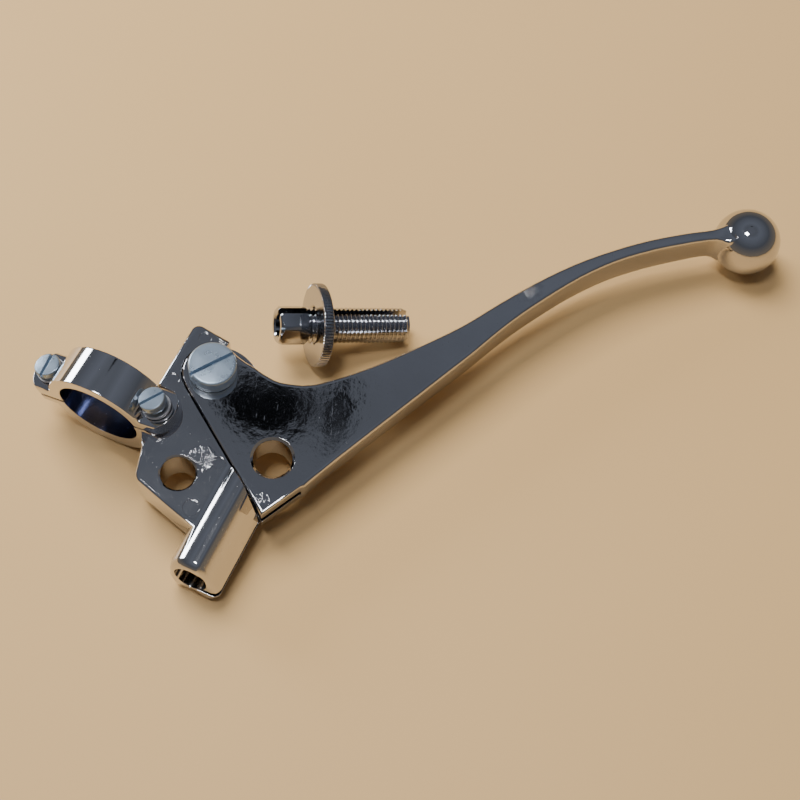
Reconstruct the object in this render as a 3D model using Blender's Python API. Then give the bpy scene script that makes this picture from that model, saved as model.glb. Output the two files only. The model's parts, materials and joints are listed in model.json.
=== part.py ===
"""Ball-end clutch lever on its handlebar perch, with a loose cable adjuster beside it.

The perch frame has its origin on the lever's pivot axis, level with the top face of the
lever.  Its +Y runs along the handlebar towards the grip, +X points from the handlebar
towards the lever, and +Z points up out of the perch.  The assembly rests on a table, so the
whole perch frame leans on the three places that touch: the clamp, the cable barrel and the
ball.  All sizes are in millimetres until they become mesh coordinates.
"""

import math

import bmesh
import bpy
from mathutils import Matrix, Vector

MM = 0.001
GAP = 0.3
TRIM = 1.0

# How the assembly lies on the table: the perch frame's turn, then its two leans, and how far
# the table top lies from the perch frame's origin.
TURN = math.radians(-21.38)
LEAN_Y = math.radians(4.90)
LEAN_X = math.radians(7.62)
TABLE_HEIGHT = -20.7

# Handlebar clamp.  Its frame has X across the bar in the split plane and Z along the screws.
BAR_RADIUS = 11.1
CLAMP_CENTRE = (-21.5, -16.6, -5.5)
CLAMP_TILT = math.radians(-17.0)
CLAMP_HALF_WIDTH = 5.6
CAP_RADIUS = 14.5
SADDLE_RADIUS = 15.2
SADDLE_DROP = 0.9
SCREW_REACH = 16.7
EAR_REACH = 21.7
EAR_ARC_RADIUS = 6.6
CAP_EAR_TOP = 3.7
SADDLE_EAR_DEPTH = 2.8
SADDLE_EAR_REACH_RIGHT = 20.2
CLAMP_SCREW_RADIUS = 2.0
CLAMP_HEAD_RADIUS = 3.4
CLAMP_HEAD_HEIGHT = 2.3
CLAMP_SCREW_LENGTH = 12.0
RIGHT_SCREW_BACKED_OUT = 1.2
WASHER_RADIUS = 3.7
WASHER_THICKNESS = 0.8

# Perch casting.
PERCH_TOP = -1.0
PERCH_BOTTOM = -13.0
PERCH_EDGE = 0.9
RECESS_FLOOR = -9.9
RECESS_RADIUS = 8.3
PIVOT_PLATE_RADIUS = 12.3
MIRROR_HOLE = (5.3, -28.4)
THREADED_HOLE_RADIUS = 4.4
BARREL_X = 20.4
BARREL_Z = -5.2
BARREL_END = -50.2
BARREL_END_SLANT = math.radians(8.7)

# Lever.
EYE_RADIUS = 7.9
HEEL_SLOPE = math.radians(-34.0)
LEVER_THICKNESS = 9.5
LEVER_EDGE = 1.25
NIPPLE_HOLE = (24.7, -14.5)
NIPPLE_HOLE_RADIUS = 5.0
SLOT_LOW = -6.0
SLOT_HIGH = -3.5
BALL_CENTRE = (117.3, 112.1, -6.55)
BALL_RADIUS = 9.7

# Pivot hardware.
PIVOT_HEAD_RADIUS = 6.25
PIVOT_HEAD_HEIGHT = 4.4
PIVOT_SHOULDER_RADIUS = 4.0
PIVOT_THREAD_RADIUS = 2.9
PIVOT_WASHER_THICKNESS = 1.0
LOCK_NUT_HEIGHT = 3.2
LOCK_NUT_FLATS = 10.0

# Loose cable adjuster, an M10 barrel with a knurled lock ring.
THREAD_RADIUS = 4.85
HEX_FLATS = 10.0
HEX_LENGTH = 8.0
NECK_LENGTH = 2.2
RING_RADIUS = 11.6
RING_THICKNESS = 2.8
RING_HUB_RADIUS = 7.0
RING_HUB_LENGTH = 0.8
RING_TEETH = 64
RING_TOOTH_DEPTH = 0.35
ADJUSTER_LENGTH = 37.5
ADJUSTER_BORE_RADIUS = 3.1
ADJUSTER_SLOT_WIDTH = 2.4
ADJUSTER_PLACE = (26.2, 23.3)
ADJUSTER_HEADING = math.radians(15.5)


# ---------------------------------------------------------------- helpers

def clear_scene():
    for item in list(bpy.data.objects):
        bpy.data.objects.remove(item, do_unlink=True)


def make_material(name, colour, roughness, metallic=1.0):
    material = bpy.data.materials.new(name)
    material.use_nodes = True
    shader = material.node_tree.nodes["Principled BSDF"]
    shader.inputs["Base Color"].default_value = (*colour, 1.0)
    shader.inputs["Roughness"].default_value = roughness
    shader.inputs["Metallic"].default_value = metallic
    material.diffuse_color = (*colour, 1.0)
    return material


def make_empty(name, location, rotation, parent=None):
    empty = bpy.data.objects.new(name, None)
    bpy.context.collection.objects.link(empty)
    empty.parent = parent
    empty.matrix_local = Matrix.Translation(Vector(location) * MM) @ rotation.to_4x4()
    return empty


def make_object(name, shape, material, parent=None, location=(0.0, 0.0, 0.0)):
    """Turn a bmesh in millimetres into an object whose origin is at the given location."""
    bmesh.ops.translate(shape, verts=shape.verts, vec=-Vector(location))
    bmesh.ops.scale(shape, verts=shape.verts, vec=(MM, MM, MM))
    bmesh.ops.recalc_face_normals(shape, faces=shape.faces)
    mesh = bpy.data.meshes.new(name)
    shape.to_mesh(mesh)
    shape.free()
    mesh.shade_smooth()
    mesh.set_sharp_from_angle(angle=math.radians(32.0))
    item = bpy.data.objects.new(name, mesh)
    bpy.context.collection.objects.link(item)
    if material:
        item.data.materials.append(material)
    item.parent = parent
    item.location = Vector(location) * MM
    return item


def boolean(target, tool, operation):
    """Cut, join or intersect, and keep the tool in the file as a hidden wire guide."""
    tool.hide_render = True
    tool.display_type = "WIRE"
    step = target.modifiers.new(f"{operation.lower()} {tool.name}", "BOOLEAN")
    step.operation = operation
    step.object = tool


def arc(centre, radius, start, end, steps):
    """Points on a circle from the start angle to the end angle, both in degrees."""
    points = []
    for index in range(steps + 1):
        angle = math.radians(start + (end - start) * index / steps)
        points.append((centre[0] + radius * math.cos(angle), centre[1] + radius * math.sin(angle)))
    return points


def offset(outline, distance):
    """Move a closed counter-clockwise outline inwards, by one distance or one for each point."""
    moved = []
    count = len(outline)
    depths = distance if isinstance(distance, list) else [distance] * count
    for index in range(count):
        before = Vector(outline[index - 1])
        here = Vector(outline[index])
        after = Vector(outline[(index + 1) % count])
        side_in = (here - before).normalized()
        side_out = (after - here).normalized()
        normal_in = Vector((-side_in.y, side_in.x))
        normal_out = Vector((-side_out.y, side_out.x))
        mitre = (normal_in + normal_out) / max(0.35, 1.0 + normal_in.dot(normal_out))
        moved.append(tuple(here + mitre * depths[index]))
    return moved


def skin(rings, capped=True):
    """Join rings of 3D points with quads, and close the first and last ring if asked."""
    shape = bmesh.new()
    rows = [[shape.verts.new(point) for point in ring] for ring in rings]
    count = len(rows[0])
    for lower, upper in zip(rows, rows[1:]):
        for index in range(count):
            after = (index + 1) % count
            shape.faces.new((lower[index], lower[after], upper[after], upper[index]))
    if capped:
        shape.faces.new(rows[0][::-1])
        shape.faces.new(rows[-1])
    return shape


def edge_steps(low, high, radius, steps=3):
    """Inset and height pairs that round both ends of a prism."""
    pairs = []
    for index in range(steps + 1):
        angle = math.pi / 2 * index / steps
        pairs.append((radius * (1 - math.sin(angle)), low + radius * (1 - math.cos(angle))))
    for index in range(steps + 1):
        angle = math.pi / 2 * (1 - index / steps)
        pairs.append((radius * (1 - math.sin(angle)), high - radius * (1 - math.cos(angle))))
    return pairs


def prism(outline, low, high, radius=0.0, steps=3):
    """A plate between two heights whose rim is rounded by the given radius."""
    if radius == 0.0:
        return skin([[(x, y, height) for x, y in outline] for height in (low, high)])
    rings = []
    for inset, height in edge_steps(low, high, radius, steps):
        rings.append([(x, y, height) for x, y in offset(outline, inset)])
    return skin(rings)


def turned(profile, segments=32):
    """A solid of revolution about Z from (radius, height) points on its outside, low to high."""
    rings = []
    for radius, height in profile:
        ring = [(x, y, height) for x, y in arc((0, 0), radius, 0, 360, segments)[:-1]]
        rings.append(ring)
    return skin(rings)


def turned_tube(inner_radius, profile, segments=32):
    """A turned ring: the outside profile runs low to high, the bore is straight."""
    path = [(inner_radius, profile[0][1])] + profile + [(inner_radius, profile[-1][1])]
    shape = bmesh.new()
    rows = []
    for radius, height in path:
        ring = arc((0, 0), radius, 0, 360, segments)[:-1]
        rows.append([shape.verts.new((x, y, height)) for x, y in ring])
    for row, lower in enumerate(rows):
        upper = rows[(row + 1) % len(rows)]
        for index in range(segments):
            after = (index + 1) % segments
            shape.faces.new((lower[index], lower[after], upper[after], upper[index]))
    return shape


def moved(shape, matrix):
    bmesh.ops.transform(shape, matrix=matrix, verts=shape.verts)
    return shape


def across_bar(shape):
    """Stand a prism up so that its outline lies in XZ and its height runs along -Y."""
    return moved(shape, Matrix.Rotation(math.radians(90.0), 4, "X"))


def cylinder(radius, low, high, segments=32, centre=(0.0, 0.0)):
    return prism(arc(centre, radius, 0, 360, segments)[:-1], low, high)


def flared_hole(radius, low, high, flare, segments=36, centre=(0.0, 0.0)):
    """A cutter for a through hole that opens by a chamfer at its top face."""
    rings = []
    for size, height in ((radius, low), (radius, high - flare), (radius + 2 * flare, high + flare)):
        rings.append([(x, y, height) for x, y in arc(centre, size, 0, 360, segments)[:-1]])
    return skin(rings)


def box(low, high):
    outline = [(low[0], low[1]), (high[0], low[1]), (high[0], high[1]), (low[0], high[1])]
    return prism(outline, low[2], high[2])


# ---------------------------------------------------------------- perch casting

def perch_outline():
    """The casting's outer wall, counter-clockwise from its upper left corner."""
    outline = arc((-8.9, 8.7), 2.3, 95, 175, 4)
    outline += [(-11.1, -9.0), (-9.6, -12.0), (-8.6, -22.2), (-6.4, -26.0)]
    outline += arc((-1.4, -31.9), 3.0, 190, 252, 4)
    outline += [(4.9, -36.7), (16.3, -39.6), (22.0, -38.0), (24.0, -26.0), (19.0, -21.5)]
    outline += [(12.0, -6.0), (9.0, 2.0), (0.8, 6.0), (0.8, 10.1)]
    return outline


def barrel_section():
    """The cable barrel's outline in X and Z, counter-clockwise, without its side slot."""
    section = [(14.0, -6.0), (14.1, -9.0), (15.2, -11.6), (17.4, -12.6), (19.6, -12.2)]
    section += [(21.4, -11.6), (23.2, -12.4), (25.2, -13.0), (27.2, -12.0), (28.1, -10.2)]
    section += [(28.1, -7.2), (25.5, -2.9), (22.3, 1.0), (21.0, 1.5), (19.0, 1.1)]
    section += [(17.0, 0.2), (15.3, -1.4), (14.3, -3.4)]
    return section


def make_barrel():
    section = barrel_section()
    rings = [[(x, -20.0, z) for x, z in section]]
    for inset, depth in ((0.0, 2.0), (0.25, 1.1), (0.75, 0.35), (1.5, 0.0)):
        ring = []
        for x, z in offset(section, inset):
            slant = (z - BARREL_Z) * math.tan(BARREL_END_SLANT)
            ring.append((x, BARREL_END + slant + depth, z))
        rings.append(ring)
    return skin(rings)


def recess_outline():
    """The open bay that the lever swings in, counter-clockwise."""
    wall = arc((0, 0), RECESS_RADIUS, 93, 236, 16)
    slope = Vector((math.cos(HEEL_SLOPE), math.sin(HEEL_SLOPE)))
    far_end = Vector(wall[-1]) + slope * 50.0
    return wall + [tuple(far_end), (60.0, 10.0), (20.0, 40.0), (wall[0][0], 40.0)]


def saddle_section():
    """Lower half of the clamp in X and Z of the clamp frame, counter-clockwise.

    It stands a little proud on three sides, which the plan and the split then trim.
    """
    top = TRIM
    low = -SADDLE_EAR_DEPTH
    reach = EAR_REACH + TRIM
    section = [(-reach, top), (-reach, low), (-14.6, low)]
    section += arc((0, -SADDLE_DROP), SADDLE_RADIUS, 202, 350, 22)
    section += [(17.0, -9.0), (reach, -6.0), (reach, top)]
    return section


def ear_plan(reach_left, reach_right):
    """Plan of the clamp with both rounded ears, which trims the extruded section."""
    half = CLAMP_HALF_WIDTH + 0.2
    bulge = math.degrees(math.asin(half / EAR_ARC_RADIUS))
    right = arc((reach_right - EAR_ARC_RADIUS, 0), EAR_ARC_RADIUS, -bulge, bulge, 10)
    left = arc((EAR_ARC_RADIUS - reach_left, 0), EAR_ARC_RADIUS, 180 - bulge, 180 + bulge, 10)
    return right + left


def make_perch(chrome, frame, clamp):
    body = prism(perch_outline(), PERCH_BOTTOM, PERCH_TOP, PERCH_EDGE)
    perch = make_object("perch_casting", body, chrome, frame)

    plate_outline = arc((0, 0), PIVOT_PLATE_RADIUS, 0, 360, 48)[:-1]
    plate = prism(plate_outline, PERCH_BOTTOM + 0.05, RECESS_FLOOR - 0.05, 0.5, 2)
    boolean(perch, make_object("pivot_plate_form", plate, None, frame), "UNION")
    boolean(perch, make_object("barrel_form", make_barrel(), None, frame), "UNION")

    saddle_shape = across_bar(prism(saddle_section(), -CLAMP_HALF_WIDTH, CLAMP_HALF_WIDTH, 0.6, 2))
    saddle = make_object("saddle_form", saddle_shape, None, clamp)
    plan = prism(ear_plan(EAR_REACH, SADDLE_EAR_REACH_RIGHT), -30.0, 5.0)
    boolean(saddle, make_object("saddle_plan_form", plan, None, clamp), "INTERSECT")
    boolean(perch, saddle, "UNION")

    bay = prism(recess_outline(), RECESS_FLOOR, 12.0)
    boolean(perch, make_object("recess_cutter", bay, None, frame), "DIFFERENCE")

    over_split = box((-24.0, -8.0, -GAP), (23.4, 7.2, 20.0))
    boolean(perch, make_object("split_cutter", over_split, None, clamp), "DIFFERENCE")
    bar = across_bar(cylinder(BAR_RADIUS, -12.0, 12.0, 64))
    boolean(perch, make_object("bar_cutter", bar, None, clamp), "DIFFERENCE")
    for side, x in (("left", -SCREW_REACH), ("right", SCREW_REACH)):
        hole = cylinder(CLAMP_SCREW_RADIUS + GAP, -11.0, 2.0, 24, (x, 0))
        boolean(perch, make_object(f"clamp_hole_{side}_cutter", hole, None, clamp), "DIFFERENCE")

    mirror = flared_hole(THREADED_HOLE_RADIUS, -20.0, PERCH_TOP, 0.5, 40, MIRROR_HOLE)
    boolean(perch, make_object("mirror_hole_cutter", mirror, None, frame), "DIFFERENCE")
    pivot = cylinder(PIVOT_THREAD_RADIUS + GAP, -20.0, 0.0, 28)
    boolean(perch, make_object("pivot_hole_cutter", pivot, None, frame), "DIFFERENCE")

    bore = across_bar(cylinder(THREADED_HOLE_RADIUS, 0.0, 60.0, 40, (BARREL_X, BARREL_Z)))
    boolean(perch, make_object("barrel_bore_cutter", bore, None, frame), "DIFFERENCE")
    slot = box((BARREL_X + 2.0, -60.0, -9.3), (BARREL_X + 12.0, 0.0, -7.4))
    boolean(perch, make_object("barrel_slot_cutter", slot, None, frame), "DIFFERENCE")

    marks = ((-6.7, 7.9, 1.7), (-8.4, -6.4, 1.7), (13.2, -21.5, 1.6), (12.6, -35.0, 2.1))
    for number, (x, y, radius) in enumerate(marks):
        dent = cylinder(radius, PERCH_TOP - 0.25, PERCH_TOP + 1.0, 24, (x, y))
        boolean(perch, make_object(f"ejector_mark_{number}_cutter", dent, None, frame), "DIFFERENCE")
    return perch


# ---------------------------------------------------------------- clamp cap and its hardware

def cap_section():
    """Upper half of the clamp in X and Z of the clamp frame, counter-clockwise."""
    low = GAP
    top = CAP_EAR_TOP
    reach = EAR_REACH + TRIM
    inner = math.degrees(math.asin(low / BAR_RADIUS))
    shoulder = math.degrees(math.asin((top + 0.9) / CAP_RADIUS))
    section = arc((0, 0), BAR_RADIUS, 180 - inner, inner, 30)
    section += [(reach, low), (reach, top), (14.6, top), (14.0, top + 0.25)]
    section += arc((0, 0), CAP_RADIUS, shoulder, 180 - shoulder, 24)
    section += [(-14.0, top + 0.25), (-14.6, top), (-reach, top), (-reach, low)]
    return section


def make_cap(chrome, clamp):
    shape = across_bar(prism(cap_section(), -CLAMP_HALF_WIDTH, CLAMP_HALF_WIDTH, 0.5, 2))
    cap = make_object("clamp_cap", shape, chrome, clamp)
    plan = prism(ear_plan(EAR_REACH, EAR_REACH), -2.0, 20.0)
    boolean(cap, make_object("cap_plan_form", plan, None, clamp), "INTERSECT")
    for side, x in (("left", -SCREW_REACH), ("right", SCREW_REACH)):
        hole = cylinder(CLAMP_SCREW_RADIUS + GAP, -2.0, 10.0, 24, (x, 0))
        boolean(cap, make_object(f"cap_hole_{side}_cutter", hole, None, clamp), "DIFFERENCE")
        spot = cylinder(WASHER_RADIUS + GAP + 0.1, CAP_EAR_TOP, 16.0, 32, (x, 0))
        boolean(cap, make_object(f"spot_face_{side}_cutter", spot, None, clamp), "DIFFERENCE")
    return cap


def make_slotted_screw(name, zinc, frame, place, sizes, slot_angle):
    """A cheese-head screw whose axis is Z: head seat, head and shank sizes come in one dict."""
    seat = sizes["seat"]
    head = sizes["head_radius"]
    top = seat + sizes["head_height"]
    soft = sizes["soft_edge"]
    profile = [(sizes["tip_radius"] - 0.5, sizes["tip"]), (sizes["tip_radius"], sizes["tip"] + 0.5)]
    profile += sizes["shank"]
    profile += [(head, seat), (head, top - soft), (head - 0.3 * soft, top - 0.3 * soft), (head - soft, top)]
    shape = moved(turned(profile, sizes["segments"]), Matrix.Translation(Vector(place)))
    screw = make_object(name, shape, zinc, frame, place)
    half = sizes["slot_width"] / 2
    bar = box((-head - 1, -half, top - sizes["slot_depth"]), (head + 1, half, top + 1))
    turn = Matrix.Translation(Vector(place)) @ Matrix.Rotation(math.radians(slot_angle), 4, "Z")
    cutter = make_object(f"{name}_slot_cutter", moved(bar, turn), None, frame, place)
    boolean(screw, cutter, "DIFFERENCE")
    return screw


def make_clamp_screw(side, x, backed_out, slot_angle, zinc, clamp):
    seat = CAP_EAR_TOP + 2 * GAP + WASHER_THICKNESS + backed_out
    sizes = {
        "seat": seat,
        "head_radius": CLAMP_HEAD_RADIUS,
        "head_height": CLAMP_HEAD_HEIGHT,
        "soft_edge": 0.35,
        "tip": seat - CLAMP_SCREW_LENGTH,
        "tip_radius": CLAMP_SCREW_RADIUS,
        "shank": [(CLAMP_SCREW_RADIUS, seat)],
        "slot_width": 0.9,
        "slot_depth": 1.1,
        "segments": 32,
    }
    return make_slotted_screw(f"clamp_screw_{side}", zinc, clamp, (x, 0, 0), sizes, slot_angle)


def make_lock_washer(side, x, zinc, clamp):
    """A split spring washer: one closed loop of square wire with a gap in it."""
    low = CAP_EAR_TOP + GAP
    inner = CLAMP_SCREW_RADIUS + GAP
    sweep = 344
    steps = 36
    rise = 0.12
    rings = []
    for index in range(steps + 1):
        angle = math.radians(200 + sweep * index / steps)
        lift = rise * index / steps
        across = Vector((math.cos(angle), math.sin(angle), 0))
        ring = []
        for radius, height in ((inner, 0.0), (WASHER_RADIUS, 0.0), (WASHER_RADIUS, 1.0), (inner, 1.0)):
            z = low + lift + height * (WASHER_THICKNESS - rise)
            ring.append(tuple(across * radius + Vector((x, 0, z))))
        rings.append(ring)
    return make_object(f"lock_washer_{side}", skin(rings), zinc, clamp, (x, 0, 0))


# ---------------------------------------------------------------- lever

# Control stations of the blade: rear edge, front edge, top and bottom heights, edge radius.
BLADE_STATIONS = (
    ((18.2, 5.9), (35.3, -17.6), 0.0, -9.5, 1.25),
    ((25.2, 9.2), (38.0, -10.9), 0.0, -9.5, 1.25),
    ((36.0, 20.4), (45.0, 5.1), 0.0, -10.5, 1.25),
    ((45.2, 32.4), (51.8, 20.4), 0.0, -11.5, 1.25),
    ((52.8, 43.2), (58.6, 35.9), 0.0, -12.2, 1.25),
    ((58.9, 53.8), (64.4, 49.8), 0.0, -12.6, 1.2),
    ((65.6, 64.9), (70.3, 61.4), -0.1, -12.7, 1.2),
    ((73.3, 75.9), (77.0, 73.0), -0.2, -12.7, 1.1),
    ((81.4, 85.5), (84.4, 83.1), -0.4, -12.6, 1.1),
    ((90.2, 94.4), (92.7, 91.7), -0.5, -12.2, 1.1),
    ((99.6, 102.4), (101.8, 99.6), -0.7, -11.7, 1.1),
    ((106.0, 107.3), (108.4, 104.5), -0.9, -11.2, 1.1),
    ((109.2, 110.5), (111.8, 104.8), -0.5, -11.4, 1.1),
    ((111.6, 112.5), (114.3, 106.3), 0.6, -12.4, 1.1),
)
STATION_STEPS = 3
HEEL_EDGE = 0.6


def flat_station(station):
    rear, front, top, bottom, radius = station
    return [*rear, *front, top, bottom, radius, radius]


def blade_stations():
    """Pass a Catmull-Rom curve through the control stations."""
    rows = [flat_station(station) for station in BLADE_STATIONS]
    padded = [rows[0]] + rows + [rows[-1]]
    stations = []
    for index in range(len(rows) - 1):
        p0, p1, p2, p3 = padded[index:index + 4]
        for step in range(STATION_STEPS):
            t = step / STATION_STEPS
            station = []
            for a, b, c, d in zip(p0, p1, p2, p3):
                bend = 2 * b + (c - a) * t + (2 * a - 5 * b + 4 * c - d) * t ** 2
                station.append(0.5 * (bend + (3 * b - a - 3 * c + d) * t ** 3))
            stations.append(station)
    stations.append(rows[-1])
    return stations


def lever_stations():
    """Put the eye around the pivot and the heel before the blade, in rear and front pairs."""
    rear = arc((0, 0), EYE_RADIUS, 148, 64, 9)
    rear += [(6.2, 6.55), (9.0, 6.2), (12.0, 5.6), (15.0, 5.35), (16.7, 5.5)]
    front = arc((0, 0), EYE_RADIUS, 152, 236, 9)
    slope = Vector((math.cos(HEEL_SLOPE), math.sin(HEEL_SLOPE)))
    tangent = Vector(front[-1])
    front += [tuple(tangent + slope * 15.0), tuple(tangent + slope * 30.0)]
    front += [(29.1, -29.1), (31.5, -24.3), (34.3, -18.6)]
    stations = []
    for rear_point, front_point in zip(rear, front):
        stations.append([*rear_point, *front_point, 0.0, -LEVER_THICKNESS, LEVER_EDGE, HEEL_EDGE])
    return stations + blade_stations()


def make_lever_blade():
    """Skin the lever from rings of its plan outline, inset to round its lower and upper rims.

    The outline runs from the ball back along the rear edge, round the eye and out along the
    front edge, so a rear point and its front partner sit equally far from the two ends.
    """
    outline = []
    limits = []
    for x_rear, y_rear, x_front, y_front, top, bottom, rear_radius, front_radius in lever_stations():
        outline = [(x_rear, y_rear)] + outline + [(x_front, y_front)]
        limits = [(bottom, top, rear_radius)] + limits + [(bottom, top, front_radius)]
    rings = []
    lower_rim = [(angle, False) for angle in (0, 30, 60, 90)]
    upper_rim = [(angle, True) for angle in (90, 60, 30, 0)]
    for angle, upper in lower_rim + upper_rim:
        inward = 1 - math.sin(math.radians(angle))
        along = 1 - math.cos(math.radians(angle))
        plan = offset(outline, [radius * inward for _, _, radius in limits])
        ring = []
        for (x, y), (bottom, top, radius) in zip(plan, limits):
            ring.append((x, y, top - radius * along if upper else bottom + radius * along))
        rings.append(ring)
    shape = skin(rings, capped=False)
    shape.verts.ensure_lookup_table()
    count = len(outline)
    for first, order in ((0, 1), (count * (len(rings) - 1), -1)):
        for index in range(count // 2 - 1):
            corners = (index, index + 1, count - 2 - index, count - 1 - index)
            shape.faces.new([shape.verts[first + corner] for corner in corners][::order])
    return shape


def make_lever(chrome, frame):
    lever = make_object("lever", make_lever_blade(), chrome, frame)
    ball_shape = bmesh.new()
    bmesh.ops.create_uvsphere(ball_shape, u_segments=40, v_segments=24, radius=BALL_RADIUS)
    along_blade = Matrix.Rotation(math.radians(30.0), 4, "Z") @ Matrix.Rotation(math.radians(90.0), 4, "Y")
    moved(ball_shape, Matrix.Translation(Vector(BALL_CENTRE)) @ along_blade)
    boolean(lever, make_object("ball_form", ball_shape, None, frame), "UNION")

    eye = cylinder(PIVOT_SHOULDER_RADIUS + GAP, -20.0, 10.0, 32)
    boolean(lever, make_object("eye_cutter", eye, None, frame), "DIFFERENCE")
    nipple = flared_hole(NIPPLE_HOLE_RADIUS, -20.0, 0.0, 0.7, 40, NIPPLE_HOLE)
    boolean(lever, make_object("nipple_hole_cutter", nipple, None, frame), "DIFFERENCE")

    slot_plan = [NIPPLE_HOLE, (17.0, -24.0), (30.0, -34.0), (42.0, -24.0), (34.4, -18.0)]
    slot = prism(slot_plan, SLOT_LOW, SLOT_HIGH)
    boolean(lever, make_object("cable_slot_cutter", slot, None, frame), "DIFFERENCE")
    return lever


# ---------------------------------------------------------------- pivot hardware

def make_pivot_screw(zinc, frame):
    shoulder_low = RECESS_FLOOR + GAP
    sizes = {
        "seat": GAP,
        "head_radius": PIVOT_HEAD_RADIUS,
        "head_height": PIVOT_HEAD_HEIGHT,
        "soft_edge": 0.8,
        "tip": PERCH_BOTTOM - 2 * GAP - PIVOT_WASHER_THICKNESS - LOCK_NUT_HEIGHT - 1.0,
        "tip_radius": PIVOT_THREAD_RADIUS,
        "shank": [
            (PIVOT_THREAD_RADIUS, shoulder_low),
            (PIVOT_SHOULDER_RADIUS, shoulder_low),
            (PIVOT_SHOULDER_RADIUS, GAP),
        ],
        "slot_width": 1.0,
        "slot_depth": 1.6,
        "segments": 48,
    }
    return make_slotted_screw("pivot_screw", zinc, frame, (0, 0, 0), sizes, 56.0)


def make_pivot_underside(zinc, frame):
    high = PERCH_BOTTOM - GAP
    low = high - PIVOT_WASHER_THICKNESS
    bore = PIVOT_THREAD_RADIUS + GAP
    washer = turned_tube(bore, [(5.6, low), (6.0, low + 0.2), (6.0, high - 0.2), (5.6, high)], 40)
    make_object("pivot_washer", washer, zinc, frame)

    nut_high = low - GAP
    nut_low = nut_high - LOCK_NUT_HEIGHT
    corner = LOCK_NUT_FLATS / math.sqrt(3)
    nut = prism(arc((0, 0), corner, 0, 360, 6)[:-1], nut_low, nut_high)
    item = make_object("pivot_lock_nut", nut, zinc, frame)
    lower_rim = [(5.0, nut_low - 0.01), (5.9, nut_low + 0.6)]
    upper_rim = [(5.9, nut_high - 0.6), (5.0, nut_high + 0.01)]
    rounding = turned(lower_rim + upper_rim)
    boolean(item, make_object("nut_rounding_form", rounding, None, frame), "INTERSECT")
    hole = cylinder(bore, nut_low - 3, nut_high + 3, 28)
    boolean(item, make_object("nut_hole_cutter", hole, None, frame), "DIFFERENCE")


# ---------------------------------------------------------------- loose adjuster

def make_adjuster(dark_chrome, lie):
    """The barrel lies along Z of its own frame, hexagon end at zero and thread tip at the top."""
    neck = HEX_LENGTH + NECK_LENGTH
    profile = [(THREAD_RADIUS, HEX_LENGTH - 1.0), (THREAD_RADIUS, ADJUSTER_LENGTH - 0.8)]
    profile += [(THREAD_RADIUS - 0.8, ADJUSTER_LENGTH)]
    screw = make_object("adjuster_screw", turned(profile, 40), dark_chrome, lie)

    corner = HEX_FLATS / math.sqrt(3)
    hexagon = prism(arc((0, 0), corner, 0, 360, 6)[:-1], 0.0, HEX_LENGTH)
    hex_form = make_object("hex_form", hexagon, None, lie)
    round_off = [(4.5, -0.01), (5.5, 1.0), (5.5, HEX_LENGTH - 0.9), (4.85, HEX_LENGTH + 0.01)]
    boolean(hex_form, make_object("hex_rounding_form", turned(round_off, 40), None, lie), "INTERSECT")
    boolean(screw, hex_form, "UNION")
    bore = cylinder(ADJUSTER_BORE_RADIUS, -2.0, ADJUSTER_LENGTH + 2.0, 28)
    boolean(screw, make_object("adjuster_bore_cutter", bore, None, lie), "DIFFERENCE")
    half = ADJUSTER_SLOT_WIDTH / 2
    slot = box((0.0, -half, -2.0), (9.0, half, ADJUSTER_LENGTH + 2.0))
    boolean(screw, make_object("adjuster_slot_cutter", slot, None, lie), "DIFFERENCE")

    outline = []
    for tooth in range(RING_TEETH):
        for share, depth in ((0.0, RING_TOOTH_DEPTH), (0.5, 0.0)):
            angle = math.tau * (tooth + share) / RING_TEETH
            radius = RING_RADIUS - depth
            outline.append((radius * math.cos(angle), radius * math.sin(angle)))
    ring_shape = prism(outline, neck, neck + RING_THICKNESS, 0.3, 1)
    ring = make_object("adjuster_lock_ring", ring_shape, dark_chrome, lie)
    hub_top = neck + RING_THICKNESS + RING_HUB_LENGTH
    hub_profile = [(RING_HUB_RADIUS, neck + 1.0), (RING_HUB_RADIUS, hub_top - 0.3)]
    hub_profile += [(RING_HUB_RADIUS - 0.3, hub_top)]
    boolean(ring, make_object("ring_hub_form", turned(hub_profile, 40), None, lie), "UNION")
    hole = cylinder(THREAD_RADIUS + GAP, 0.0, ADJUSTER_LENGTH, 40)
    boolean(ring, make_object("ring_hole_cutter", hole, None, lie), "DIFFERENCE")


def adjuster_placement():
    """Lean the barrel so that the ring's rim and the thread tip both touch the table."""
    ring_face = HEX_LENGTH + NECK_LENGTH + RING_THICKNESS
    dip = math.atan2(RING_RADIUS - THREAD_RADIUS, ADJUSTER_LENGTH - ring_face)
    heading = Matrix.Rotation(ADJUSTER_HEADING, 3, "Z")
    lay_down = Matrix.Rotation(math.pi / 2 + dip, 3, "Y")
    slot_up = Matrix.Rotation(math.radians(165.0), 3, "Z")
    rotation = heading @ lay_down @ slot_up
    axis = rotation @ Vector((0, 0, 1))
    ring_centre_height = TABLE_HEIGHT + RING_RADIUS * math.cos(dip) + 0.02
    ring_centre = Vector((*ADJUSTER_PLACE, ring_centre_height))
    return ring_centre - axis * ring_face, rotation


# ---------------------------------------------------------------- assembly

def centre_on_origin(roots):
    """Move the assembly so that the origin is under its middle, on the table it rests on."""
    bpy.context.view_layer.update()
    depsgraph = bpy.context.evaluated_depsgraph_get()
    points = []
    for item in bpy.data.objects:
        if item.type == "MESH" and not item.hide_render:
            mesh = item.evaluated_get(depsgraph).data
            points += [item.matrix_world @ vertex.co for vertex in mesh.vertices]
    low = [min(point[axis] for point in points) for axis in range(3)]
    high = [max(point[axis] for point in points) for axis in range(3)]
    for root in roots:
        root.location -= Vector(((low[0] + high[0]) / 2, (low[1] + high[1]) / 2, low[2]))


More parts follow.
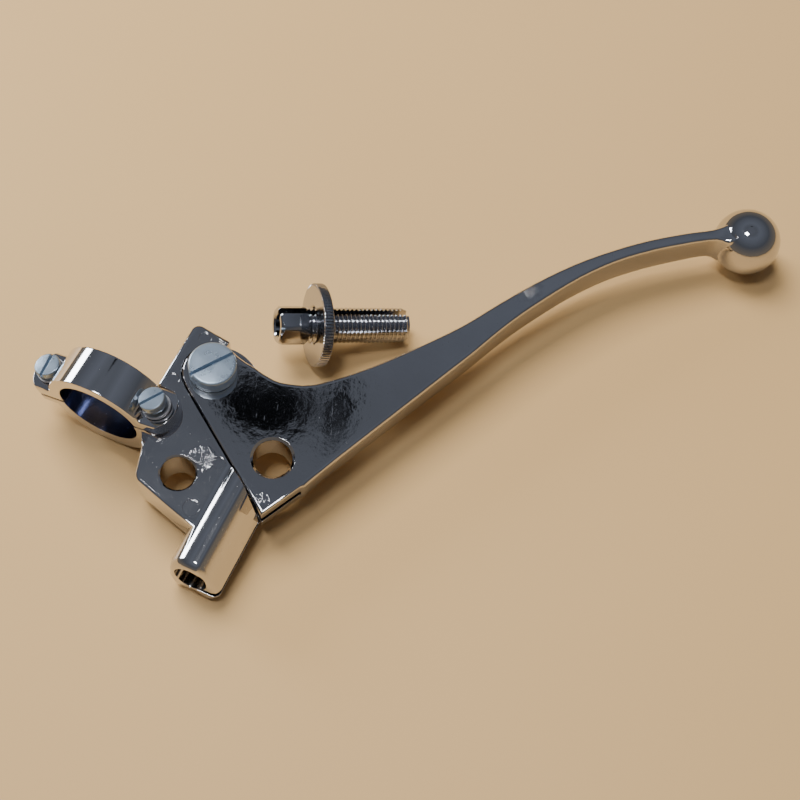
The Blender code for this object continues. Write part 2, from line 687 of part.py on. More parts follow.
def main():
    clear_scene()
    chrome = make_material("chrome", (0.62, 0.62, 0.64), 0.08)
    dark_chrome = make_material("dark_chrome", (0.42, 0.42, 0.44), 0.14)
    zinc = make_material("bright_zinc", (0.62, 0.66, 0.70), 0.28)

    lean = Matrix.Rotation(LEAN_X, 3, "X") @ Matrix.Rotation(LEAN_Y, 3, "Y") @ Matrix.Rotation(TURN, 3, "Z")
    frame = make_empty("perch_frame", (0, 0, 0), lean)
    clamp = make_empty("clamp_frame", CLAMP_CENTRE, Matrix.Rotation(CLAMP_TILT, 3, "Y"), frame)

    make_perch(chrome, frame, clamp)
    make_cap(chrome, clamp)
    make_clamp_screw("left", -SCREW_REACH, 0.0, 96.0, zinc, clamp)
    make_clamp_screw("right", SCREW_REACH, RIGHT_SCREW_BACKED_OUT, 52.0, zinc, clamp)
    make_lock_washer("left", -SCREW_REACH, zinc, clamp)
    make_lock_washer("right", SCREW_REACH, zinc, clamp)
    make_lever(chrome, frame)
    make_pivot_screw(zinc, frame)
    make_pivot_underside(zinc, frame)

    place, rotation = adjuster_placement()
    lie = make_empty("adjuster_frame", place, rotation)
    make_adjuster(dark_chrome, lie)
    centre_on_origin([frame, lie])


main()
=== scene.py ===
"""Looks for the ball-end clutch lever: chrome and zinc materials, threads, knurls and light.

Sizes named here are in millimetres in a piece's own frame.  Each of those frames is worked
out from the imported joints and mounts, so every piece lands where its solid is.
"""

import json
import math

import bmesh
import bpy
from mathutils import Matrix, Vector


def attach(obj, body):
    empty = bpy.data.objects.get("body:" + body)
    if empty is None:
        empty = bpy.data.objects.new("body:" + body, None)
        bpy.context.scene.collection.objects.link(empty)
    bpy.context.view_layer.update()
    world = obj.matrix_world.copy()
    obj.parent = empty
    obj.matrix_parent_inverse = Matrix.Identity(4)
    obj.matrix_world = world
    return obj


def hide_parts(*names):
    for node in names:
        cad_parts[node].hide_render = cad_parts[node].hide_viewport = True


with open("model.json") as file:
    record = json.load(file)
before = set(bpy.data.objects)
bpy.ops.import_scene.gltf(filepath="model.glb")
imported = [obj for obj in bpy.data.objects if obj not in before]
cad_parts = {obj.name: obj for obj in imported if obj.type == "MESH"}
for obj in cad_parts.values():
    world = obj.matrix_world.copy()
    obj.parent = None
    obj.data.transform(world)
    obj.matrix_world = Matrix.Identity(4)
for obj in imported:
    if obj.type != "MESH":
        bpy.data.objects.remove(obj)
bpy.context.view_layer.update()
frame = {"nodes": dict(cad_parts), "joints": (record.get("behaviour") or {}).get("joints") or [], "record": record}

MM = 0.001
JOINTS = {joint["name"]: joint for joint in frame["joints"]}
MOUNTS = {mount["name"]: mount for mount in frame["record"]["mounts"]}


# ---------------------------------------------------------------- frames

def frame_on(origin, z_axis, x_hint):
    """A frame in millimetres: Z along the axis, X as near as it can be to the hint."""
    z = Vector(z_axis).normalized()
    x = Vector(x_hint)
    x = (x - z * x.dot(z)).normalized()
    y = z.cross(x)
    turn = Matrix((x, y, z)).transposed().to_4x4()
    return Matrix.Translation(Vector(origin)) @ turn


BAR_DIRECTION = -Vector(MOUNTS["clamp_side"]["axis"])
PIVOT_AXIS = Vector(JOINTS["lever_swing"]["axis"])
SCREW_AXIS = Vector(JOINTS["clamp_cap_lift"]["axis"])
RING_AXIS = Vector(JOINTS["lock_ring_turn"]["axis"])
SLOT_FACES = (0.178, 0.318, 0.931)
RING_MIDDLE = 11.6
CLAMP_JOINT_HEIGHT = 6.0

PERCH = frame_on(JOINTS["lever_swing"]["pos_m"], PIVOT_AXIS, BAR_DIRECTION.cross(PIVOT_AXIS))
ADJUSTER = frame_on(JOINTS["lock_ring_turn"]["pos_m"], RING_AXIS, SLOT_FACES)
ADJUSTER = ADJUSTER @ Matrix.Translation((0, 0, -RING_MIDDLE * MM))


BORE_CENTRE = Vector(MOUNTS["clamp_side"]["pos_m"]) + SCREW_AXIS * 0.0135 + BAR_DIRECTION * 0.0056
BORE_REACH = 0.0114


def clamp_screw_frame(side):
    joint = JOINTS[f"clamp_screw_{side}_turn"]
    stand = frame_on(joint["pos_m"], SCREW_AXIS, BAR_DIRECTION.cross(SCREW_AXIS))
    return stand @ Matrix.Translation((0, 0, -CLAMP_JOINT_HEIGHT * MM))


# ---------------------------------------------------------------- shader helpers

class Shader:
    """A small writer for node trees: each call adds a node and links what it is given."""

    def __init__(self, name):
        self.material = bpy.data.materials.new(name)
        self.material.use_nodes = True
        self.tree = self.material.node_tree
        self.surface = self.tree.nodes["Principled BSDF"]

    def node(self, kind, **settings):
        item = self.tree.nodes.new(kind)
        for key, value in settings.items():
            setattr(item, key, value)
        return item

    def feed(self, socket, value):
        if isinstance(value, bpy.types.NodeSocket):
            self.tree.links.new(value, socket)
        else:
            socket.default_value = value

    def place(self, scale=(1, 1, 1), turn=(0, 0, 0), shift=(0, 0, 0)):
        """Object coordinates, stretched and turned: 1 unit is 1 m, so scales are per metre."""
        coordinates = self.node("ShaderNodeTexCoord").outputs["Object"]
        mapping = self.node("ShaderNodeMapping")
        self.feed(mapping.inputs["Vector"], coordinates)
        mapping.inputs["Scale"].default_value = scale
        mapping.inputs["Rotation"].default_value = turn
        mapping.inputs["Location"].default_value = shift
        return mapping.outputs["Vector"]

    def noise(self, vector, scale, detail=3.0, roughness=0.5, distortion=0.0):
        item = self.node("ShaderNodeTexNoise")
        self.feed(item.inputs["Vector"], vector)
        item.inputs["Scale"].default_value = scale
        item.inputs["Detail"].default_value = detail
        item.inputs["Roughness"].default_value = roughness
        item.inputs["Distortion"].default_value = distortion
        return item.outputs["Fac"]

    def ramp(self, factor, low, high, start=0.0, end=1.0):
        """Map factor from low..high to start..end, clamped."""
        item = self.node("ShaderNodeMapRange")
        self.feed(item.inputs["Value"], factor)
        item.inputs["From Min"].default_value = low
        item.inputs["From Max"].default_value = high
        item.inputs["To Min"].default_value = start
        item.inputs["To Max"].default_value = end
        return item.outputs["Result"]

    def math(self, operation, first, second=0.0):
        item = self.node("ShaderNodeMath", operation=operation)
        self.feed(item.inputs[0], first)
        self.feed(item.inputs[1], second)
        return item.outputs[0]

    def mix(self, factor, first, second):
        item = self.node("ShaderNodeMix", data_type="RGBA")
        self.feed(item.inputs["Factor"], factor)
        self.feed(item.inputs["A"], first)
        self.feed(item.inputs["B"], second)
        return item.outputs["Result"]

    def near(self, point, radius, fade):
        """1 inside a ball of the radius around a point, falling to 0 over the fade."""
        coordinates = self.node("ShaderNodeTexCoord").outputs["Object"]
        item = self.node("ShaderNodeVectorMath", operation="DISTANCE")
        self.feed(item.inputs[0], coordinates)
        item.inputs[1].default_value = point
        return self.ramp(item.outputs["Value"], radius, radius + fade, 1.0, 0.0)

    def bump(self, height, distance, normal=None):
        item = self.node("ShaderNodeBump")
        self.feed(item.inputs["Height"], height)
        item.inputs["Distance"].default_value = distance
        if normal is not None:
            self.feed(item.inputs["Normal"], normal)
        return item.outputs["Normal"]

    def soft_edges(self, radius):
        item = self.node("ShaderNodeBevel", samples=6)
        item.inputs["Radius"].default_value = radius
        return item.outputs["Normal"]

    def hairlines(self, turn, amount, seed):
        """Thin straight scratches in one direction: long noise cells, cut to their crests."""
        lines = self.noise(self.place((2600, 26, 2600), turn, (seed, seed, seed)), 1.0, 2.0)
        patches = self.noise(self.place((60, 60, 60), shift=(seed, 0, 0)), 1.0, 2.0)
        sharp = self.ramp(lines, 0.66, 0.72)
        return self.math("MULTIPLY", sharp, self.ramp(patches, 0.5, 0.62, 0.0, amount))


def grey(value, tint=(1.0, 1.0, 1.0)):
    return (value * tint[0], value * tint[1], value * tint[2], 1.0)


# ---------------------------------------------------------------- materials

def chrome(name, value, tint, polish, peel, edge, rough_spots=()):
    """Plated casting: mirror with orange peel, haze, hairline scratches and softly rounded edges."""
    shader = Shader(name)
    surface = shader.surface
    haze = shader.noise(shader.place(), 70.0, 4.0)
    scratches = shader.math(
        "ADD",
        shader.hairlines((0.0, 0.0, 0.6), 1.0, 3.0),
        shader.hairlines((0.3, 0.0, -0.9), 0.8, 11.0),
    )
    specks = shader.ramp(shader.noise(shader.place(), 1900.0, 1.0), 0.72, 0.8)
    tone = shader.mix(haze, grey(value * 0.9, tint), grey(value * 1.08, tint))
    dull = shader.mix(shader.math("MULTIPLY", specks, 0.5), tone, grey(value * 0.55, tint))
    shader.feed(surface.inputs["Base Color"], dull)
    surface.inputs["Metallic"].default_value = 1.0
    rough = shader.ramp(haze, 0.3, 0.7, polish * 0.6, polish * 1.5)
    rough = shader.math("ADD", rough, shader.math("MULTIPLY", scratches, 0.16))
    rough = shader.math("ADD", rough, shader.math("MULTIPLY", specks, 0.2))

    normal = shader.soft_edges(edge * MM)
    waves = shader.noise(shader.place(), 240.0, 1.0)
    normal = shader.bump(waves, peel * 2.2 * MM, normal)
    ripple = shader.noise(shader.place(), 900.0, 2.0)
    normal = shader.bump(ripple, peel * MM, normal)
    normal = shader.bump(scratches, -0.002 * MM, normal)
    for point, radius in rough_spots:
        spot = shader.near(point, radius * 0.4 * MM, radius * 0.6 * MM)
        grain = shader.noise(shader.place(), 1250.0, 2.0, 0.5, 0.5)
        ragged = shader.ramp(shader.noise(shader.place(), 700.0, 4.0, 0.7), 0.5, 0.62)
        height = shader.math("MULTIPLY", shader.math("MULTIPLY", spot, ragged), grain)
        normal = shader.bump(height, 0.16 * MM, normal)
    shader.feed(surface.inputs["Roughness"], rough)
    shader.feed(surface.inputs["Normal"], normal)
    return shader.material


def zinc(name, value, tint, ring_pitch=0.0):
    """Bright zinc plate on turned steel: satin, cloudy, with tool marks round the axis."""
    shader = Shader(name)
    surface = shader.surface
    cloud = shader.noise(shader.place(), 260.0, 5.0, 0.6)
    stain = shader.ramp(shader.noise(shader.place(), 120.0, 3.0), 0.56, 0.74)
    tone = shader.mix(cloud, grey(value * 0.92, tint), grey(value * 1.06, tint))
    warm = (tint[0] * 1.03, tint[1] * 0.99, tint[2] * 0.94)
    shader.feed(surface.inputs["Base Color"], shader.mix(stain, tone, grey(value * 0.93, warm)))
    surface.inputs["Metallic"].default_value = 0.82
    scratches = shader.hairlines((0.0, 0.0, 1.1), 1.0, 5.0)
    rough = shader.ramp(cloud, 0.3, 0.7, 0.24, 0.4)
    rough = shader.math("ADD", rough, shader.math("MULTIPLY", scratches, 0.15))
    shader.feed(surface.inputs["Roughness"], rough)
    normal = shader.soft_edges(0.18 * MM)
    if ring_pitch:
        rings = shader.node("ShaderNodeTexWave", wave_type="RINGS", rings_direction="Z")
        shader.feed(rings.inputs["Vector"], shader.place())
        rings.inputs["Scale"].default_value = 0.314 / (ring_pitch * MM)
        rings.inputs["Distortion"].default_value = 0.6
        rings.inputs["Detail"].default_value = 2.0
        normal = shader.bump(rings.outputs["Fac"], 0.004 * MM, normal)
    grain = shader.noise(shader.place(), 2200.0, 3.0)
    normal = shader.bump(grain, 0.006 * MM, normal)
    normal = shader.bump(scratches, -0.006 * MM, normal)
    shader.feed(surface.inputs["Normal"], normal)
    return shader.material


def floor_finish():
    shader = Shader("pale_floor")
    surface = shader.surface
    cloud = shader.noise(shader.place(), 6.0, 3.0)
    tan = shader.mix(cloud, (0.62, 0.39, 0.165, 1.0), (0.66, 0.43, 0.19, 1.0))
    shader.feed(surface.inputs["Base Color"], tan)
    surface.inputs["Roughness"].default_value = 0.6
    return shader.material


def in_perch(x, y, z):
    return PERCH @ (Vector((x, y, z)) * MM)


COOL = (0.97, 0.98, 1.03)
NEUTRAL = (1.0, 0.985, 1.0)
BLUE = (0.76, 0.93, 1.12)
NAVY = (0.75, 0.82, 1.25)

CAST_SPOTS = ((in_perch(8.6, -22.6, -1.0), 4.0), (in_perch(-2.0, 9.8, -1.0), 1.8))
LEVER_SPOTS = ((in_perch(63.6, 62.8, 0.0), 6.0), (in_perch(27.5, -25.7, 0.0), 2.2))
perch_chrome = chrome("perch_plate", 0.64, NEUTRAL, 0.085, 0.006, 0.2, CAST_SPOTS)
cap_chrome = chrome("cap_plate", 0.68, NEUTRAL, 0.07, 0.004, 0.2)
lever_chrome = chrome("lever_plate", 0.62, NEUTRAL, 0.05, 0.008, 0.2, LEVER_SPOTS)
adjuster_chrome = chrome("adjuster_plate", 0.52, COOL, 0.1, 0.003, 0.12)
ring_chrome = chrome("ring_plate", 0.5, COOL, 0.11, 0.003, 0.1)
screw_zinc = zinc("screw_zinc_plate", 0.5, BLUE, 0.16)
pivot_zinc = zinc("pivot_zinc_plate", 0.62, BLUE, 0.22)
washer_zinc = zinc("washer_zinc_plate", 0.6, COOL)
# A dark navy-tinted copy of the chrome: painted shade for the faces inside the handlebar bore.
bore_shade_chrome = chrome("bore_shade_chrome", 0.2, NAVY, 0.16, 0.02, 0.2)


# ---------------------------------------------------------------- mesh helpers

def arc(centre, radius, start, end, steps):
    """Points on a circle from the start angle to the end angle, both in degrees."""
    points = []
    for index in range(steps + 1):
        angle = math.radians(start + (end - start) * index / steps)
        points.append((centre[0] + radius * math.cos(angle), centre[1] + radius * math.sin(angle)))
    return points


def circle(radius, segments, centre=(0.0, 0.0)):
    return arc(centre, radius, 0, 360, segments)[:-1]


def offset(outline, depths):
    """Move a closed counter-clockwise outline inwards by one distance for each point."""
    moved = []
    count = len(outline)
    for index in range(count):
        before = Vector(outline[index - 1])
        here = Vector(outline[index])
        after = Vector(outline[(index + 1) % count])
        side_in = (here - before).normalized()
        side_out = (after - here).normalized()
        normal_in = Vector((-side_in.y, side_in.x))
        normal_out = Vector((-side_out.y, side_out.x))
        mitre = (normal_in + normal_out) / max(0.35, 1.0 + normal_in.dot(normal_out))
        moved.append(tuple(here + mitre * depths[index]))
    return moved


def skin(rings, capped=True):
    """Join rings of 3D points with quads, and close the first and last ring if asked."""
    shape = bmesh.new()
    rows = [[shape.verts.new(point) for point in ring] for ring in rings]
    count = len(rows[0])
    for lower, upper in zip(rows, rows[1:]):
        for index in range(count):
            after = (index + 1) % count
            shape.faces.new((lower[index], lower[after], upper[after], upper[index]))
    if capped:
        shape.faces.new(rows[0][::-1])
        shape.faces.new(rows[-1])
    return shape


def turned(profile, segments=96):
    """A solid of revolution about Z from (radius, height) points on its outside, low to high."""
    return skin([[(x, y, height) for x, y in circle(radius, segments)] for radius, height in profile])


def prism(outline, low, high):
    return skin([[(x, y, height) for x, y in outline] for height in (low, high)])


def box(low, high):
    outline = [(low[0], low[1]), (high[0], low[1]), (high[0], high[1]), (low[0], high[1])]
    return prism(outline, low[2], high[2])


def threaded(radius, depth, pitch, low, high, columns=72, rows=8):
    """A threaded rod: a grid that climbs one pitch a turn, flattened to the core at both ends."""
    shape = bmesh.new()
    first = int((low / pitch - 2) * rows)
    last = int((high / pitch + 2) * rows)
    core = radius - depth
    grid = []
    for column in range(columns):
        line = []
        share = column / columns
        for row in range(first, last + 1):
            height = (row / rows + share) * pitch
            flank = abs((row % rows) / rows - 0.5) * 2
            crest = core + depth * min(1.0, max(0.0, 1.25 * flank - 0.1))
            fade = min(1.0, max(0.0, min(height - low, high - height) / (0.8 * pitch)))
            size = core + (crest - core) * fade
            angle = math.tau * share
            point = (size * math.cos(angle), size * math.sin(angle), min(high, max(low, height)))
            line.append(shape.verts.new(point))
        grid.append(line)
    for column in range(columns):
        beside = grid[(column + 1) % columns]
        climb = rows if column == columns - 1 else 0
        for row in range(len(grid[column]) - 1 - climb):
            here = grid[column]
            corners = (here[row], beside[row + climb], beside[row + climb + 1], here[row + 1])
            shape.faces.new(corners)
    bmesh.ops.remove_doubles(shape, verts=shape.verts, dist=1e-4)
    bmesh.ops.holes_fill(shape, edges=[edge for edge in shape.edges if edge.is_boundary])
    return shape


def make_piece(name, shape, place, material=None, sharp=32.0):
    """A bmesh in millimetres becomes an object standing in the given frame."""
    bmesh.ops.scale(shape, verts=shape.verts, vec=(MM, MM, MM))
    bmesh.ops.recalc_face_normals(shape, faces=shape.faces)
    mesh = bpy.data.meshes.new(name)
    shape.to_mesh(mesh)
    shape.free()
    mesh.shade_smooth()
    mesh.set_sharp_from_angle(angle=math.radians(sharp))
    piece = bpy.data.objects.new(name, mesh)
    bpy.context.scene.collection.objects.link(piece)
    piece.matrix_world = place
    if material:
        mesh.materials.append(material)
    return piece


def shape_by(piece, steps, place, sharp=32.0):
    """Cut and join the piece with tools in its frame, apply, and take the tools away."""
    tools = []
    for number, (operation, shape) in enumerate(steps):
        tool = make_piece(f"{piece.name}_tool_{number}", shape, place)
        tools.append(tool)
        step = piece.modifiers.new(tool.name, "BOOLEAN")
        step.operation = operation
        step.object = tool
    bpy.context.view_layer.update()
    depsgraph = bpy.context.evaluated_depsgraph_get()
    result = bpy.data.meshes.new_from_object(piece.evaluated_get(depsgraph), depsgraph=depsgraph)
    materials = list(piece.data.materials)
    piece.modifiers.clear()
    piece.data = result
    result.materials.clear()
    for material in materials:
        result.materials.append(material)
    for tool in tools:
        bpy.data.objects.remove(tool, do_unlink=True)
    result.shade_smooth()
    result.set_sharp_from_angle(angle=math.radians(sharp))
    return piece


def settle(piece):
    """Put the piece's place into its mesh, so that its box is as tight as it can be."""
    piece.data.transform(piece.matrix_world)
    piece.matrix_world = Matrix.Identity(4)


def stand_in_for(piece, node, body):
    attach(piece, body)
    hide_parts(node)


# ---------------------------------------------------------------- screws

def slotted_screw(name, place, sizes, material):
    """Cheese head with a soft top edge and a seat line, over a shank with a real thread."""
    seat = sizes["seat"]
    head = sizes["head_radius"]
    top = seat + sizes["head_height"]
    soft = sizes["soft_edge"]
    profile = [(sizes["neck_radius"], seat - sizes["neck_length"]), (sizes["neck_radius"], seat)]
    profile += [(head - 0.15, seat), (head, seat + 0.15), (head, seat + sizes["band"])]
    profile += [(head - 0.12, seat + sizes["band"] + 0.1), (head - 0.12, seat + sizes["band"] + 0.25)]
    profile += [(head, seat + sizes["band"] + 0.35)]
    for step in range(7):
        angle = math.pi / 2 * step / 6
        profile.append((head - soft + soft * math.cos(angle), top - soft + soft * math.sin(angle)))
    piece = make_piece(name, turned(profile), place, material)
    half = sizes["slot_width"] / 2
    slot = box((-head - 1, -half, top - sizes["slot_depth"]), (head + 1, half, top + 1))
    bmesh.ops.rotate(slot, verts=slot.verts, matrix=Matrix.Rotation(math.radians(sizes["slot_angle"]), 3, "Z"))
    rod = threaded(
        sizes["thread_radius"], sizes["thread_depth"], sizes["pitch"], sizes["tip"],
        seat - sizes["neck_length"] + 0.1, 48,
    )
    return shape_by(piece, (("DIFFERENCE", slot), ("UNION", rod)), place)


def make_clamp_screw(side, backed_out, slot_angle):
    seat = 5.1 + backed_out
    sizes = {
        "seat": seat,
        "head_radius": 3.4,
        "head_height": 2.3,
        "soft_edge": 0.35,
        "band": 0.0,
        "neck_radius": 1.7,
        "neck_length": 0.5,
        "thread_radius": 2.0,
        "thread_depth": 0.3,
        "pitch": 0.7,
        "tip": seat - 12.0,
        "slot_width": 0.9,
        "slot_depth": 1.1,
        "slot_angle": slot_angle,
    }
    piece = slotted_screw(f"slotted_screw_{side}", clamp_screw_frame(side), sizes, screw_zinc)
    stand_in_for(piece, f"clamp_screw_{side}", f"screw_{side}")


def make_pivot_screw():
    sizes = {
        "seat": 0.3,
        "head_radius": 6.25,
        "head_height": 4.4,
        "soft_edge": 0.8,
        "band": 0.95,
        "neck_radius": 4.0,
        "neck_length": 9.9,
        "thread_radius": 2.9,
        "thread_depth": 0.45,
        "pitch": 1.0,
        "tip": -18.8,
        "slot_width": 1.0,
        "slot_depth": 1.6,
        "slot_angle": 56.0,
    }
    piece = slotted_screw("shouldered_pivot_screw", PERCH, sizes, pivot_zinc)
    stand_in_for(piece, "pivot_screw", "pivot")


# ---------------------------------------------------------------- adjuster

ADJUSTER_LENGTH = 37.5
HEX_LENGTH = 8.0
HEX_FLATS = 10.0
THREAD_CREST = 4.95
THREAD_DEPTH = 0.62
THREAD_PITCH = 1.25
BORE_RADIUS = 3.1
SLOT_WIDTH = 2.4
RING_LOW = 10.2
RING_THICKNESS = 2.8
RING_RADIUS = 11.6
KNURLS = 84
KNURL_DEPTH = 0.38


def make_adjuster():
    rod = threaded(THREAD_CREST, THREAD_DEPTH, THREAD_PITCH, HEX_LENGTH - 0.6, ADJUSTER_LENGTH, 96, 10)
    piece = make_piece("threaded_cable_adjuster", rod, ADJUSTER, adjuster_chrome)
    hexagon = prism(arc((0, 0), HEX_FLATS / math.sqrt(3), 0, 360, 6)[:-1], 0.0, HEX_LENGTH)
    rounding = turned([(4.6, -0.01), (5.5, 0.9), (5.5, HEX_LENGTH - 0.9), (4.9, HEX_LENGTH + 0.01)])
    hex_piece = make_piece("hex_end", hexagon, ADJUSTER)
    shape_by(hex_piece, (("INTERSECT", rounding),), ADJUSTER)
    hex_shape = bmesh.new()
    hex_shape.from_mesh(hex_piece.data)
    bmesh.ops.scale(hex_shape, verts=hex_shape.verts, vec=(1 / MM, 1 / MM, 1 / MM))
    bpy.data.objects.remove(hex_piece, do_unlink=True)
    bore = turned([(BORE_RADIUS + 0.9, -0.5), (BORE_RADIUS, 0.5), (BORE_RADIUS, 40.0)])
    half = SLOT_WIDTH / 2
    slot = box((0.0, -half, -2.0), (9.0, half, ADJUSTER_LENGTH + 2.0))
    steps = (("UNION", hex_shape), ("DIFFERENCE", bore), ("DIFFERENCE", slot))
    shape_by(piece, steps, ADJUSTER, 40.0)
    settle(piece)
    stand_in_for(piece, "adjuster_screw", "adjuster")


def knurled_outline(inset):
    """Straight knurling: flat-topped teeth with a narrow groove between each pair."""
    outline = []
    for tooth in range(KNURLS):
        for share, depth in ((0.0, KNURL_DEPTH), (0.22, 0.0), (0.78, 0.0)):
            angle = math.tau * (tooth + share) / KNURLS
            size = RING_RADIUS - inset - depth
            outline.append((size * math.cos(angle), size * math.sin(angle)))
    return outline


def make_lock_ring():
    top = RING_LOW + RING_THICKNESS
    levels = ((0.45, RING_LOW), (0.12, RING_LOW + 0.12), (0.0, RING_LOW + 0.4))
    levels += ((0.0, top - 0.4), (0.12, top - 0.12), (0.45, top))
    rings = [[(x, y, height) for x, y in knurled_outline(inset)] for inset, height in levels]
    piece = make_piece("knurled_lock_ring", skin(rings), ADJUSTER, ring_chrome, 25.0)
    hub = turned([(7.0, RING_LOW + 1.0), (7.0, top + 0.5), (6.85, top + 0.7), (6.6, top + 0.8)])
    hole = turned([(5.15, RING_LOW - 1.0), (5.15, top + 2.0)])
    bevel = turned([(6.1, RING_LOW - 0.5), (5.1, RING_LOW + 0.5)])
    shape_by(piece, (("UNION", hub), ("DIFFERENCE", hole), ("DIFFERENCE", bevel)), ADJUSTER, 25.0)
    settle(piece)
    stand_in_for(piece, "adjuster_lock_ring", "ring")


# ---------------------------------------------------------------- castings and washers

BALL_CENTRE = (117.3, 112.1, -6.55)
BALL_RADIUS = 9.72
SAME_POINT = 1e-6
SAME_PLANE = 0.004


def keep_flats_flat(piece):
    """Weigh the shading by face size, so that no fillet bends the light on a flat face."""
    weigh = piece.modifiers.new("flats", "WEIGHTED_NORMAL")
    weigh.keep_sharp = True
    weigh.weight = 100


def casting(node, name, body, material, sharp=30.0):
    """The node's own surface, welded and shaded round, as the piece that stands for it."""
    shape = bmesh.new()
    shape.from_mesh(frame["nodes"][node].data)
    bmesh.ops.remove_doubles(shape, verts=shape.verts, dist=SAME_POINT)
    bmesh.ops.dissolve_limit(shape, angle_limit=SAME_PLANE, verts=shape.verts, edges=shape.edges)
    bmesh.ops.scale(shape, verts=shape.verts, vec=(1 / MM, 1 / MM, 1 / MM))
    piece = make_piece(name, shape, Matrix.Identity(4), material, sharp)
    keep_flats_flat(piece)
    stand_in_for(piece, node, body)
    return piece


def shade_bore_faces(piece):
    """Give the faces round the handlebar a dark navy chrome: painted shade inside the clamp's bore."""
    piece.data.materials.append(bore_shade_chrome)
    for face in piece.data.polygons:
        from_centre = face.center - BORE_CENTRE
        along = BAR_DIRECTION * from_centre.dot(BAR_DIRECTION)
        if (from_centre - along).length < BORE_REACH and abs(face.normal.dot(BAR_DIRECTION)) < 0.3:
            face.material_index = 1


def make_lever():
    """The ball gets a finer sphere a hair outside the solid's own, joined to the blade."""
    piece = casting("lever", "ball_end_lever", "lever", lever_chrome)
    ball = bmesh.new()
    bmesh.ops.create_uvsphere(ball, u_segments=128, v_segments=80, radius=BALL_RADIUS)
    along_blade = Matrix.Rotation(math.radians(30.0), 4, "Z") @ Matrix.Rotation(math.radians(90.0), 4, "Y")
    place = PERCH @ Matrix.Translation(Vector(BALL_CENTRE) * MM) @ along_blade
    in_millimetres = Matrix.Scale(1 / MM, 4) @ place @ Matrix.Scale(MM, 4)
    bmesh.ops.transform(ball, matrix=in_millimetres, verts=ball.verts)
    piece.modifiers.clear()
    shape_by(piece, (("UNION", ball),), Matrix.Identity(4), 30.0)
    keep_flats_flat(piece)


make_lever()
shade_bore_faces(casting("perch_casting", "cast_perch", "perch", perch_chrome))
shade_bore_faces(casting("clamp_cap", "cast_clamp_cap", "cap", cap_chrome))
casting("pivot_washer", "flat_washer", "perch", washer_zinc)
casting("pivot_lock_nut", "thin_lock_nut", "nut", pivot_zinc)
for side in ("left", "right"):
    casting(f"lock_washer_{side}", f"spring_washer_{side}", "cap", washer_zinc)

make_clamp_screw("left", 0.0, 96.0)
make_clamp_screw("right", 1.2, 52.0)
make_pivot_screw()
make_adjuster()
make_lock_ring()


# ---------------------------------------------------------------- floor, light and camera

def make_floor():
    shape = bmesh.new()
    bmesh.ops.create_grid(shape, x_segments=4, y_segments=4, size=2000.0)
    floor = make_piece("floor", shape, Matrix.Translation((0, 0, -0.00005)), floor_finish())


def make_lamp(name, place, size, power, colour):
    """A rectangular soft lamp that faces the middle of the lever."""
    lamp = bpy.data.lights.new(name, "AREA")
    lamp.shape = "RECTANGLE"
    lamp.size = size[0]
    lamp.size_y = size[1]
    lamp.energy = power
    lamp.color = colour
    item = bpy.data.objects.new(name, lamp)
    bpy.context.scene.collection.objects.link(item)
    item.location = place
    item.rotation_euler = Vector(place).to_track_quat("Z", "Y").to_euler()
    return item


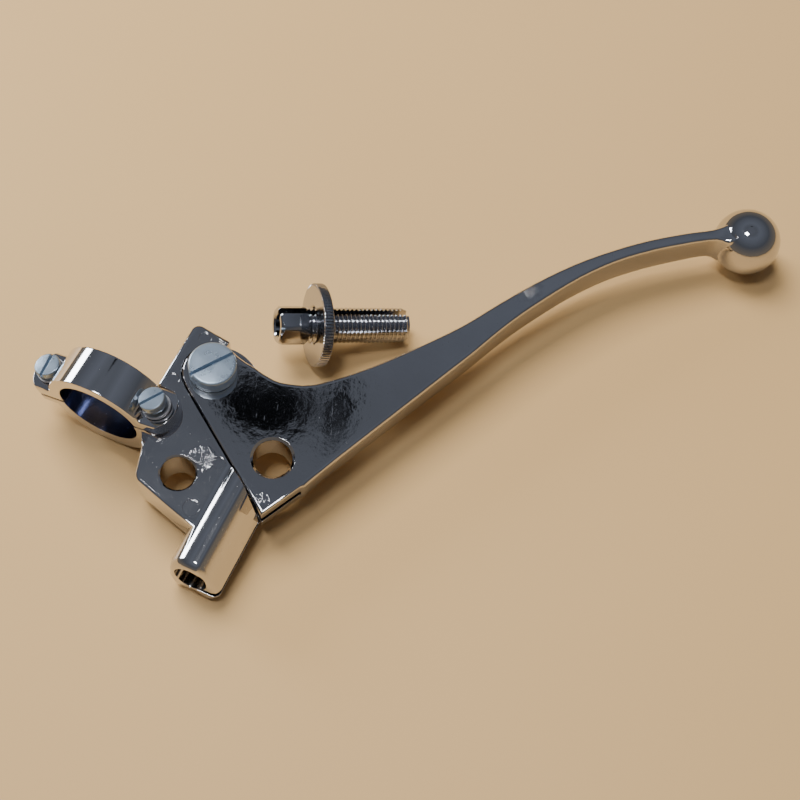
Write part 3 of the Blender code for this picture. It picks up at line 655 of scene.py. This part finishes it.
def make_world():
    """A dim tent that darkens overhead, with two black gaps the lever's top face mirrors."""
    world = bpy.data.worlds.new("dim_room")
    bpy.context.scene.world = world
    world.use_nodes = True
    nodes = world.node_tree.nodes
    links = world.node_tree.links
    background = nodes["Background"]
    direction = nodes.new("ShaderNodeTexCoord").outputs["Generated"]
    split = nodes.new("ShaderNodeSeparateXYZ")
    ramp = nodes.new("ShaderNodeValToRGB")
    links.new(direction, split.inputs["Vector"])
    links.new(split.outputs["Z"], ramp.inputs["Fac"])
    tones = ramp.color_ramp.elements
    tones[0].position = 0.0
    tones[0].color = (0.24, 0.20, 0.15, 1.0)
    tones[1].position = 1.0
    tones[1].color = (0.15, 0.165, 0.20, 1.0)
    tones.new(0.5).color = (0.10, 0.11, 0.13, 1.0)
    tones.new(0.88).color = (0.17, 0.19, 0.235, 1.0)
    tones.new(0.96).color = (0.135, 0.15, 0.18, 1.0)
    colour = ramp.outputs["Color"]
    for centre, scale, turn in GAPS:
        shift = nodes.new("ShaderNodeVectorMath")
        shift.operation = "SUBTRACT"
        shift.inputs[1].default_value = centre
        links.new(direction, shift.inputs[0])
        stretch = nodes.new("ShaderNodeMapping")
        stretch.inputs["Rotation"].default_value = (0.0, 0.0, turn)
        stretch.inputs["Scale"].default_value = scale
        links.new(shift.outputs["Vector"], stretch.inputs["Vector"])
        reach = nodes.new("ShaderNodeVectorMath")
        reach.operation = "LENGTH"
        links.new(stretch.outputs["Vector"], reach.inputs[0])
        fade = nodes.new("ShaderNodeMapRange")
        fade.inputs["From Min"].default_value = 0.8
        fade.inputs["From Max"].default_value = 1.15
        fade.inputs["To Min"].default_value = 0.03
        links.new(reach.outputs["Value"], fade.inputs["Value"])
        darken = nodes.new("ShaderNodeVectorMath")
        darken.operation = "SCALE"
        links.new(colour, darken.inputs[0])
        links.new(fade.outputs["Result"], darken.inputs["Scale"])
        colour = darken.outputs["Vector"]
    links.new(colour, background.inputs["Color"])
    background.inputs["Strength"].default_value = 0.85


def make_camera():
    """Stand where the view looks along +Y and down at the table, with a slight roll."""
    look_down = math.radians(58.07)
    roll = math.radians(3.355)
    camera = bpy.data.cameras.new("view")
    camera.lens = 51.75
    camera.sensor_width = 36.0
    camera.clip_start = 0.01
    item = bpy.data.objects.new("view", camera)
    bpy.context.scene.collection.objects.link(item)
    turn = Matrix.Rotation(math.pi / 2 - look_down, 4, "X") @ Matrix.Rotation(roll, 4, "Z")
    item.matrix_world = Matrix.Translation((-0.006678, -0.171143, 0.271966)) @ turn
    bpy.context.scene.camera = item


GAPS = (
    ((0.042, 0.276, 0.96), (24.0, 34.0, 6.0), 0.0),
    ((0.103, 0.276, 0.955), (90.0, 30.0, 6.0), 0.25),
)

make_floor()
make_world()
make_lamp("key", (-0.82, 0.46, 0.36), (0.30, 0.26), 4.0, (0.90, 0.95, 1.0))
make_lamp("overhead", (-0.14, -0.12, 0.95), (0.20, 0.14), 3.0, (0.95, 0.97, 1.0))
fill = make_lamp("fill", (-0.34, 0.44, 0.95), (0.6, 0.6), 17.0, (1.0, 0.97, 0.93))
fill.visible_glossy = False
make_camera()
